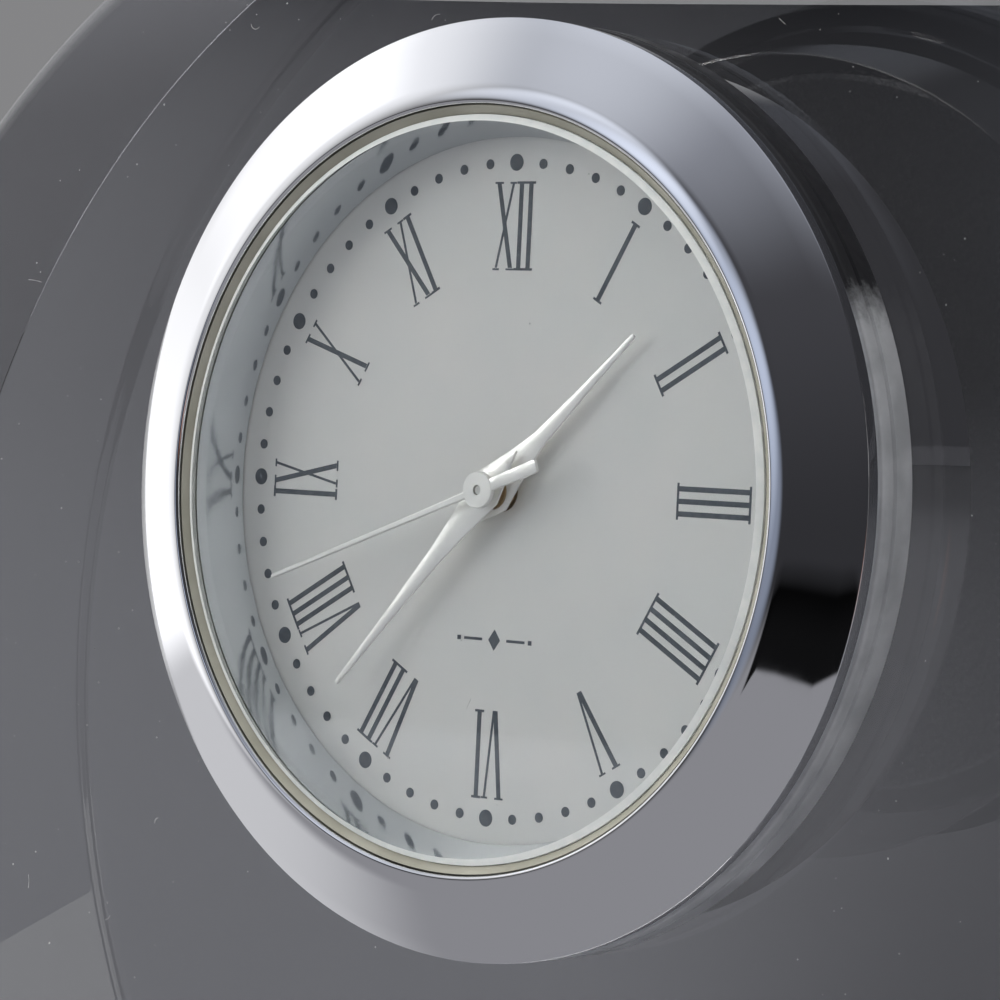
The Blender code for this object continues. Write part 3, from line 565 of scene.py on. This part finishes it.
def glass():
    """Flat watch glass with a ground bevel and edge."""
    size = Extent("dial_glass")
    edge = size.outer - LIP_REACH
    face = edge - BEVEL_WIDTH
    profile = [(0.0, size.high), (face, size.high), (edge, size.high - BEVEL_DEPTH)]
    profile += [(edge, size.low + 0.06 * MM), (edge - 0.06 * MM, size.low), (0.0, size.low)]
    mesh = revolve("watch_glass", profile, RING, closed=False)
    ground = [polygon.index for polygon in mesh.polygons if math.hypot(*polygon.center[:2]) > face
              and polygon.center.z > size.low + 0.01 * MM]
    piece = finished("watch_glass", mesh, "insert", MATERIALS["mineral_glass"], 20)
    piece.data.materials.append(GROUND)
    for index in ground:
        piece.data.polygons[index].material_index = 1
    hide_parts("dial_glass")


def seal():
    """Ring between the glass and the bezel, its top dished towards the glass."""
    size = Extent("glass_seal")
    inner, outer = size.inner - LIP_REACH, size.outer - LIP_REACH
    profile = [(inner, size.high - SEAL_DISH), (outer - 0.04 * MM, size.high), (outer, size.high - 0.04 * MM),
               (outer, size.low), (inner, size.low)]
    mesh = revolve("olive_seal_ring", profile, RING)
    piece = finished("olive_seal_ring", mesh, "insert", MATERIALS["olive_seal"], 50)
    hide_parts("glass_seal")


def reflector():
    """Mirror-bright conical ring between the dial and the glass."""
    size = Extent("reflector_ring")
    profile = [(REFLECTOR_MOUTH, size.high), (size.outer, size.high), (size.outer, size.low)]
    profile += [(size.inner, size.low)]
    profile += [(size.inner + t * (REFLECTOR_MOUTH - size.inner), size.low + t * (size.high - size.low))
                for t in (0.02, 0.25, 0.5, 0.75, 0.98)]
    mesh = revolve("silver_reflector", profile, RING)
    piece = finished("silver_reflector", mesh, "insert", MATERIALS["mirror_silver"], 40)
    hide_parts("reflector_ring")


grip_ring()
bezel()
glass()
seal()
reflector()

# ---------------------------------------------------------------- dial printing
# Numerals and hands are sized in shares of the minute ring's radius.

DIAL = Extent("dial")
MINUTE_RING = 12.95 * MM
INK_LOW = DIAL.high + 0.001 * MM
INK_HEIGHT = 0.012 * MM
HOUR_DOT = 0.026 * MINUTE_RING
MINUTE_DOT = 0.0155 * MINUTE_RING
NUMERAL_INNER = 0.671
NUMERAL_OUTER = 0.942
NUMERALS = ["XII", "I", "II", "III", "IIII", "V", "VI", "VII", "VIII", "IX", "X", "XI"]
GLYPH_WIDTH = {"I": 0.037, "V": 0.088, "X": 0.086}
THICK = 0.0158
THIN = 0.008
SERIF = 0.0075
SERIF_REACH = 0.0085


def print_layer(name, fill):
    """Ink raised a hair above the dial. fill(bm) adds the flat shapes."""
    bm = bmesh.new()
    fill(bm)
    finished(name, mesh_from(bm, name), "insert", INK, 50)


def dots(bm):
    """The round dots of the minutes, larger at the hours."""
    for minute in range(60):
        radius, sides = (HOUR_DOT, 28) if minute % 5 == 0 else (MINUTE_DOT, 18)
        centre = clock_direction(6 * minute) * MINUTE_RING
        turns = [2 * math.pi * k / sides for k in range(sides)]
        outline = [(centre.x + radius * math.cos(turn), centre.y + radius * math.sin(turn)) for turn in turns]
        prism(bm, outline, INK_LOW, INK_LOW + INK_HEIGHT)


def stroke(strokes, x0, y0, x1, y1, width):
    """A slanted stroke with level ends between two heights, width measured level."""
    half = width / 2
    strokes.append([(x0 - half, y0), (x0 + half, y0), (x1 + half, y1), (x1 - half, y1)])


def numeral_strokes(text):
    """Strokes of a Roman numeral, x centred, y from 0 at the inner end up to its height."""
    height = NUMERAL_OUTER - NUMERAL_INNER
    total = sum(GLYPH_WIDTH[glyph] for glyph in text)
    x = -total / 2
    strokes = []
    run_start = None
    for index, glyph in enumerate(text):
        width = GLYPH_WIDTH[glyph]
        middle = x + width / 2
        if glyph == "I":
            stroke(strokes, middle, SERIF, middle, height - SERIF, THICK)
            if run_start is None:
                run_start = x
            if index + 1 == len(text) or text[index + 1] != "I":
                left, right = run_start + 0.001, x + width - 0.001
                for y in (0.0, height - SERIF):
                    strokes.append([(left, y), (right, y), (right, y + SERIF), (left, y + SERIF)])
                run_start = None
        else:
            left, right = x + 0.016, x + width - 0.014
            serif_rows = [(left, height - SERIF, THICK), (right, height - SERIF, THIN)]
            if glyph == "V":
                # The V that stands alone, with its middle at 0, keeps a blunt foot as high as a serif.
                foot = 0.0 if middle else SERIF
                stroke(strokes, left, height - SERIF, middle, foot, THICK)
                stroke(strokes, right, height - SERIF, middle + 0.006, foot, THIN)
            else:
                stroke(strokes, left, height - SERIF, right, SERIF, THICK)
                stroke(strokes, right, height - SERIF, left, SERIF, THIN)
                serif_rows += [(right, 0.0, THICK), (left, 0.0, THIN)]
            for centre, y, base in serif_rows:
                half = base / 2 + SERIF_REACH
                strokes.append([(centre - half, y), (centre + half, y), (centre + half, y + SERIF * 0.8),
                                (centre - half, y + SERIF * 0.8)])
        x += width
    return strokes


def numerals(bm):
    """Each numeral stands with its foot towards the centre. Crossing strokes differ in height by a hair."""
    for hour, text in enumerate(NUMERALS):
        outward = clock_direction(30 * hour)
        across = Vector((outward.y, -outward.x))
        for layer, outline in enumerate(numeral_strokes(text)):
            points = []
            for x, y in outline:
                point = (across * x + outward * (NUMERAL_INNER + y)) * MINUTE_RING
                points.append((point.x, point.y))
            lift = 0.0001 * MM * layer
            prism(bm, points, INK_LOW, INK_LOW + INK_HEIGHT + lift)


def ornament(bm):
    """A small lozenge between two fine rules, in place of wording."""
    middle = -0.456 * MINUTE_RING
    tall, wide = 0.42 * MM, 0.3 * MM
    lozenge = [(0.0, middle - tall), (wide, middle), (0.0, middle + tall), (-wide, middle)]
    prism(bm, lozenge, INK_LOW, INK_LOW + INK_HEIGHT)
    for side in (-1, 1):
        for start, end, half in ((0.62, 1.55, 0.055), (1.72, 1.9, 0.09)):
            left, right = sorted((side * start * MM, side * end * MM))
            low, high = middle - half * MM, middle + half * MM
            rule = [(left, low), (right, low), (right, high), (left, high)]
            prism(bm, rule, INK_LOW, INK_LOW + INK_HEIGHT)


print_layer("minute_dots", dots)
print_layer("hour_numerals", numerals)
print_layer("dial_ornament", ornament)

# ---------------------------------------------------------------- hands

HOUR_SHAPE = [(0.705, 0.0055), (0.697, 0.0075), (0.45, 0.0145), (0.24, 0.025), (0.125, 0.047), (0.0, 0.080),
              (-0.10, 0.040), (-0.17, 0.002)]
MINUTE_SHAPE = [(0.849, 0.0055), (0.842, 0.0075), (0.55, 0.0155), (0.28, 0.027), (0.15, 0.040), (0.0, 0.060),
                (-0.07, 0.036), (-0.12, 0.016), (-0.165, 0.002)]
DOME = [(-1.0, 0.0), (-0.75, 0.45), (-0.4, 0.84), (0.0, 1.0), (0.4, 0.84), (0.75, 0.45), (1.0, 0.0)]
CROWN = 0.06 * MM


def rest_angle(node):
    """The clock angle a hand node points to: its vertex farthest from the axis is its tip."""
    points = [TO_AXIS @ vertex.co for vertex in NODES[node].data.vertices]
    reach = max(math.hypot(point.x, point.y) for point in points)
    tips = [point for point in points if math.hypot(point.x, point.y) > reach - 0.03 * MM]
    middle = sum((Vector((tip.x, tip.y)) for tip in tips), Vector((0.0, 0.0)))
    return math.degrees(math.atan2(middle.x, middle.y))


def lance(name, node, shape, body, bore):
    """A gently domed hand with thin side walls."""
    size = Extent(node)
    forward = clock_direction(rest_angle(node))
    across = Vector((forward.y, -forward.x))
    wall = size.high - size.low - CROWN
    section = [(-1.0, None)] + DOME + [(1.0, None)]
    bm = bmesh.new()
    rows = []
    for along, half in shape:
        row = []
        crown = CROWN * min(1.0, half / 0.02)
        for share, rise in section:
            point = (forward * along + across * half * share) * MINUTE_RING
            w = size.low if rise is None else size.low + wall + rise * crown
            row.append(bm.verts.new((point.x, point.y, w)))
        rows.append(row)
    for first, second in zip(rows, rows[1:]):
        for index in range(len(section)):
            after = (index + 1) % len(section)
            bm.faces.new((first[index], first[after], second[after], second[index]))
    bm.faces.new(rows[0])
    bm.faces.new(list(reversed(rows[-1])))
    hand = helper(name, mesh_from(bm, name))
    hole = [(0.0, 5 * MM), (bore, 5 * MM), (bore, 0.0), (0.0, 0.0)]
    subtract(hand, helper("bore", revolve("bore", hole, 48, closed=False)))
    mesh = hand.data
    bpy.data.objects.remove(hand, do_unlink=True)
    piece = finished(name, mesh, body, MATERIALS["hand_metal"], 40, local=False)
    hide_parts(node)


def seconds_pointer():
    """Fine tapering needle, hub disc with a pin hole, flat bar tail."""
    size = Extent("second_hand")
    forward = clock_direction(rest_angle("second_hand"))
    across = Vector((forward.y, -forward.x))
    blade_low = size.high - 0.17 * MM
    blade_high = size.high - 0.03 * MM

    def bar(name, stations):
        bm = bmesh.new()
        rows = []
        for along, half in stations:
            row = []
            for offset, w in ((-half, blade_low), (-half, blade_high - 0.03 * MM), (-half * 0.6, blade_high),
                              (half * 0.6, blade_high), (half, blade_high - 0.03 * MM), (half, blade_low)):
                point = (forward * along + across * offset) * MINUTE_RING
                row.append(bm.verts.new((point.x, point.y, w)))
            rows.append(row)
        for first, second in zip(rows, rows[1:]):
            for index in range(6):
                after = (index + 1) % 6
                bm.faces.new((first[index], first[after], second[after], second[index]))
        bm.faces.new(rows[0])
        bm.faces.new(list(reversed(rows[-1])))
        return mesh_from(bm, name)

    needle = bar("needle", [(0.887, 0.0052), (0.88, 0.0062), (0.3, 0.0085), (0.03, 0.0115)])
    tail = bar("tail", [(-0.03, 0.018), (-0.228, 0.0205), (-0.238, 0.0165)])
    hub_r = 0.056 * MINUTE_RING
    bevel = 0.03 * MM
    disc = [(0.0, size.high), (hub_r - bevel, size.high), (hub_r, size.high - bevel)]
    disc += [(hub_r, blade_low - bevel), (0.37 * MM, blade_low - bevel)]
    disc += [(0.36 * MM, size.low), (0.0, size.low)]
    hub = helper("hub", revolve("hub", disc, 64, closed=False), local=False)
    hole = [(0.0, 5 * MM), (0.2 * MM, 5 * MM), (0.2 * MM, 0.0), (0.0, 0.0)]
    subtract(hub, helper("pin_hole", revolve("pin_hole", hole, 40, closed=False), local=False))
    bm = bmesh.new()
    for mesh in (needle, tail, hub.data):
        bm.from_mesh(mesh)
    bpy.data.objects.remove(hub, do_unlink=True)
    pointer = mesh_from(bm, "second_pointer")
    piece = finished("second_pointer", pointer, "seconds", MATERIALS["hand_metal"], 20)
    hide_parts("second_hand")


lance("hour_lance", "hour_hand", HOUR_SHAPE, "hours", 0.77 * MM)
lance("minute_lance", "minute_hand", MINUTE_SHAPE, "minutes", 0.42 * MM)
seconds_pointer()

# ---------------------------------------------------------------- dust

DUST_LIFT = 0.004 * MM
DUST_HEIGHT = 0.006 * MM
FIBRE_STEPS = 8
FIBRE_HALF = 0.008 * MM


def heading(angle):
    return Vector((math.cos(angle), math.sin(angle)))


def flake(chance, place, size):
    """A many-sided speck of uneven radius."""
    sides = chance.randint(5, 7)
    return [place + size * chance.uniform(0.6, 1.2) * heading(2 * math.pi * k / sides) for k in range(sides)]


def fibre(chance, place):
    """A short thread of even width that curls one way."""
    length = chance.uniform(0.25, 0.9) * MM
    bend = chance.uniform(-2.2, 2.2)
    turn = chance.uniform(0, 6.3)
    spot = place.copy()
    left, right = [], []
    for step in range(FIBRE_STEPS + 1):
        angle = turn + bend * step / FIBRE_STEPS
        side = FIBRE_HALF * heading(angle + math.pi / 2)
        left.append(spot + side)
        right.append(spot - side)
        spot += heading(angle) * length / FIBRE_STEPS
    return left + list(reversed(right))


def dust(name, body, flakes, fibres, seed, inner, outer, height, centre=Vector((0.0, 0.0)), rim=1.0):
    """Flakes and fibres on a face square to the clock axis, from inner to outer and inside the rim."""
    chance = random.Random(seed)
    bm = bmesh.new()
    low = height + DUST_LIFT
    for index in range(flakes + fibres):
        place = None
        while place is None or (place - centre).length > rim:
            angle = chance.uniform(0, 2 * math.pi)
            reach = math.sqrt(chance.uniform(inner ** 2, outer ** 2))
            place = heading(angle) * reach
        size = 0.018 * MM + 0.03 * MM * chance.random() ** 3
        outline = flake(chance, place, size) if index < flakes else fibre(chance, place)
        prism(bm, [(point.x, point.y) for point in outline], low, low + DUST_HEIGHT)
    finished(name, mesh_from(bm, name), body, LINT, 50)


def all_dust():
    points = [TO_AXIS @ vertex.co for vertex in NODES["crystal_block"].data.vertices]
    radius = max(point.x for point in points)
    centre = Vector((0.0, max(point.y for point in points if abs(point.x) < 2 * MM) - radius))
    front = max(point.z for point in points)
    rim = radius - 3 * MM
    dust("block_dust", "block", 260, 22, 11, 19.5 * MM, 36.0 * MM, front, centre, rim)
    dust("glass_dust", "insert", 16, 2, 5, 2.0 * MM, 14.0 * MM, Extent("dial_glass").high)


all_dust()

# ---------------------------------------------------------------- camera

CAMERA_AT = (7.82105542, -9.41523571, 0.17995289)
CAMERA_TURN = (39.730, 0.976, 2.724)
LONG_LENS = 4.019
GLASS_SHIFT = 0.116


def camera():
    """Close view from the right, level with the dial. Place and turn are measured off the leaning dial.

    The camera's axes are u, into the dial, and v, in shares of the minute ring's radius. Their origin lies
    where the glass makes the dial seem to be.
    """
    azimuth, elevation, roll = (math.radians(angle) for angle in CAMERA_TURN)
    level = Vector((math.sin(azimuth), -math.cos(azimuth), 0.0))
    back = level * math.cos(elevation) + Vector((0.0, 0.0, math.sin(elevation)))
    side = (-back).cross(Vector((0.0, 0.0, 1.0))).normalized()
    up = side.cross(-back)
    turned_side = math.cos(roll) * side + math.sin(roll) * up
    turned_up = -math.sin(roll) * side + math.cos(roll) * up
    place = Vector((CAMERA_AT[0], CAMERA_AT[1] - GLASS_SHIFT, CAMERA_AT[2])) * MINUTE_RING

    def to_axis(vector):
        return Vector((vector[0], vector[2], -vector[1]))

    data = bpy.data.cameras.new("camera")
    data.sensor_width = 36.0
    data.lens = data.sensor_width * LONG_LENS
    data.clip_start = 0.01
    data.clip_end = 20.0
    obj = bpy.data.objects.new("camera", data)
    turn = AXIS.to_3x3()
    columns = [turn @ to_axis(vector) for vector in (turned_side, turned_up, back)]
    matrix = Matrix(columns).transposed().to_4x4()
    matrix.translation = AXIS @ to_axis(place)
    obj.matrix_world = matrix
    bpy.context.scene.collection.objects.link(obj)
    bpy.context.scene.camera = obj


camera()

# ---------------------------------------------------------------- stage and light

# Painted shade on the floor behind the clock: dark tones near and far, from the right side to the left.
FLOOR_SHADE_NEAR = (0.05, 0.102)
FLOOR_SHADE_FAR = (0.021, 0.085)
FLOOR_FRONT = 0.4
FLOOR_TINT = (0.985, 0.99, 1.08)
FLOOR_RADIUS = 6.0
CARD_DISTANCE = 5.0


def direction(azimuth, elevation):
    """World direction: azimuth from the front (-Y) towards the left (-X), in degrees."""
    a, e = math.radians(azimuth), math.radians(elevation)
    return Vector((-math.sin(a) * math.cos(e), -math.cos(a) * math.cos(e), math.sin(e)))


class World:
    """Studio light by direction, as a sum of soft lobes."""

    def __init__(self, ambient):
        world = bpy.data.worlds.new("studio")
        bpy.context.scene.world = world
        world.use_nodes = True
        self.nodes, self.links = world.node_tree.nodes, world.node_tree.links
        self.background = self.nodes["Background"]
        self.way = self.nodes.new("ShaderNodeTexCoord").outputs["Generated"]
        self.total = None
        self.ambient = ambient

    def ranged(self, azimuth, elevation, start, end):
        """0 to 1 as the cosine of the angle from a direction goes from start to end."""
        dot = self.nodes.new("ShaderNodeVectorMath")
        dot.operation = "DOT_PRODUCT"
        self.links.new(self.way, dot.inputs[0])
        dot.inputs[1].default_value = direction(azimuth, elevation)
        ranged = self.nodes.new("ShaderNodeMapRange")
        ranged.interpolation_type = "SMOOTHSTEP"
        self.links.new(dot.outputs["Value"], ranged.inputs["Value"])
        ranged.inputs["From Min"].default_value = start
        ranged.inputs["From Max"].default_value = end
        return ranged.outputs["Result"]

    def product(self, first, second):
        node = self.nodes.new("ShaderNodeMath")
        node.operation = "MULTIPLY"
        self.links.new(first, node.inputs[0])
        self.links.new(second, node.inputs[1])
        return node.outputs["Value"]

    def add(self, mask, colour):
        scale = self.nodes.new("ShaderNodeVectorMath")
        scale.operation = "SCALE"
        scale.inputs[0].default_value = colour
        self.links.new(mask, scale.inputs["Scale"])
        joined = self.nodes.new("ShaderNodeVectorMath")
        self.links.new(scale.outputs["Vector"], joined.inputs[0])
        if self.total:
            self.links.new(self.total, joined.inputs[1])
        else:
            joined.inputs[1].default_value = self.ambient
        self.total = joined.outputs["Vector"]

    def dim(self, mask, keep):
        """Lowers everything so far to keep where the mask is 1."""
        ranged = self.nodes.new("ShaderNodeMapRange")
        self.links.new(mask, ranged.inputs["Value"])
        ranged.inputs["To Min"].default_value = 1.0
        ranged.inputs["To Max"].default_value = keep
        scale = self.nodes.new("ShaderNodeVectorMath")
        scale.operation = "SCALE"
        self.links.new(self.total, scale.inputs[0])
        self.links.new(ranged.outputs["Result"], scale.inputs["Scale"])
        self.total = scale.outputs["Vector"]

    def around(self, azimuth, elevation, core, edge):
        """1 out to core degrees from a direction, falling to 0 at edge degrees."""
        return self.ranged(azimuth, elevation, math.cos(math.radians(edge)), math.cos(math.radians(core)))

    def lobe(self, azimuth, elevation, core, edge, colour):
        """Adds light round a direction."""
        self.add(self.around(azimuth, elevation, core, edge), colour)

    def height(self, low, high):
        """0 to 1 as the elevation goes from low to high, in degrees."""
        return self.ranged(0, 90, math.sin(math.radians(low)), math.sin(math.radians(high)))

    def finish(self):
        self.links.new(self.total, self.background.inputs["Color"])


def card(name, azimuth, elevation, half_angle, colour):
    """A round lamp far off in one direction. Bare metal and glass don't mirror it."""
    way = direction(azimuth, elevation)
    radius = CARD_DISTANCE * math.tan(math.radians(half_angle))
    bm = bmesh.new()
    bmesh.ops.create_circle(bm, cap_ends=True, segments=64, radius=radius)
    mesh = bpy.data.meshes.new(name)
    bm.to_mesh(mesh)
    bm.free()
    obj = bpy.data.objects.new(name, mesh)
    turn = way.to_track_quat("Z", "Y").to_matrix().to_4x4()
    obj.matrix_world = Matrix.Translation(way * CARD_DISTANCE) @ turn
    bpy.context.scene.collection.objects.link(obj)
    material = bpy.data.materials.new(name)
    material.use_nodes = True
    shader = material.node_tree.nodes["Principled BSDF"]
    shader.inputs["Base Color"].default_value = (0.0, 0.0, 0.0, 1.0)
    shader.inputs["Emission Color"].default_value = (*colour, 1.0)
    shader.inputs["Emission Strength"].default_value = 1.0
    mesh.materials.append(material)
    obj.visible_glossy = False
    obj.visible_camera = False


def floor():
    """A wide pale sheet with painted shade: its colour darkens behind the clock, most of all to the right."""
    bm = bmesh.new()
    bmesh.ops.create_circle(bm, cap_ends=True, segments=128, radius=FLOOR_RADIUS)
    mesh = bpy.data.meshes.new("floor")
    bm.to_mesh(mesh)
    bm.free()
    obj = bpy.data.objects.new("floor", mesh)
    obj.location.z = -0.0001
    bpy.context.scene.collection.objects.link(obj)
    material = bpy.data.materials.new("floor")
    material.use_nodes = True
    nodes, links = material.node_tree.nodes, material.node_tree.links
    coordinate = nodes.new("ShaderNodeTexCoord").outputs["Object"]

    def vector(operation, first, second=None):
        node = nodes.new("ShaderNodeVectorMath")
        node.operation = operation
        links.new(first, node.inputs[0])
        if second is not None:
            node.inputs[1].default_value = second
        return node.outputs["Value" if operation in ("DOT_PRODUCT", "LENGTH") else "Vector"]

    def ramp(value, low, high, out_low, out_high):
        node = nodes.new("ShaderNodeMapRange")
        node.interpolation_type = "SMOOTHSTEP"
        links.new(value, node.inputs["Value"])
        node.inputs["From Min"].default_value = low
        node.inputs["From Max"].default_value = high
        node.inputs["To Min"].default_value = out_low
        node.inputs["To Max"].default_value = out_high
        return node.outputs["Result"]

    def mix(factor, first, second):
        node = nodes.new("ShaderNodeMix")
        links.new(factor, node.inputs["Factor"])
        links.new(first, node.inputs["A"])
        links.new(second, node.inputs["B"])
        return node.outputs["Result"]

    # Painted shade: behind the clock the colour falls from pale to dark grey, darkest to the right.
    turn = math.radians(125)
    leftward = vector("DOT_PRODUCT", vector("NORMALIZE", coordinate), (-math.sin(turn), math.cos(turn), 0.0))
    distance = vector("LENGTH", coordinate)
    near = ramp(leftward, -0.17, 0.08, FLOOR_SHADE_NEAR[0], FLOOR_SHADE_NEAR[1])
    far = ramp(leftward, -0.02, 0.27, FLOOR_SHADE_FAR[0], FLOOR_SHADE_FAR[1])
    behind = mix(ramp(distance, 0.15, 0.6, 0.0, 1.0), near, far)
    front = nodes.new("ShaderNodeValue")
    front.outputs["Value"].default_value = FLOOR_FRONT
    depth = vector("DOT_PRODUCT", coordinate, (0.0, 1.0, 0.0))
    level = mix(ramp(depth, -0.02, 0.05, 0.0, 1.0), front.outputs["Value"], behind)
    tint = nodes.new("ShaderNodeVectorMath")
    tint.operation = "SCALE"
    tint.inputs[0].default_value = FLOOR_TINT
    links.new(level, tint.inputs["Scale"])
    shader = nodes["Principled BSDF"]
    shader.inputs["Roughness"].default_value = 1.0
    shader.inputs["Specular IOR Level"].default_value = 0.0
    links.new(tint.outputs["Vector"], shader.inputs["Base Color"])
    mesh.materials.append(material)
    obj.visible_glossy = False


def stage():
    """Pale light low all round, a bright patch at the left, a soft sky and three lamps."""
    world = World((0.032, 0.032, 0.036))
    world.add(world.height(-3, -12), (0.24, 0.24, 0.255))
    world.lobe(92, -16, 8, 38, (0.34, 0.34, 0.34))
    world.add(world.product(world.around(84, 10, 18, 46), world.height(-13, -9)), (0.83, 0.83, 0.84))
    world.lobe(82, 24, 5, 17, (0.3, 0.3, 0.3))
    world.lobe(60, 50, 0, 35, (0.3, 0.31, 0.33))
    world.lobe(10, 80, 10, 52, (0.34, 0.36, 0.41))
    world.lobe(0, 60, 5, 62, (0.03, 0.03, 0.034))
    world.lobe(16, 6, 6, 18, (0.2, 0.23, 0.3))
    world.lobe(21, 18, 6, 18, (0.3, 0.33, 0.4))
    world.lobe(33, 29, 6, 17, (0.5, 0.53, 0.6))
    world.lobe(-45, -8, 3, 11, (0.4, 0.15, 0.08))
    world.lobe(-108, 0, 8, 24, (0.8, 0.8, 0.8))
    world.lobe(134, 6, 8, 24, (0.2, 0.2, 0.202))
    dark_band = world.product(world.height(-16.2, -15.4), world.height(-1.5, -6))
    world.dim(world.product(world.around(-12, -11, 10, 13), dark_band), 0.02)
    world.finish()
    card("key_card", 54, 25, 14.0, (13.4, 13.4, 13.2))
    card("top_card", 20, 84, 28.0, (2.6, 2.6, 2.6))
    card("right_card", -66, 22, 34.0, (1.45, 1.45, 1.45))
    floor()
    bpy.context.scene.view_settings.view_transform = "Standard"


stage()
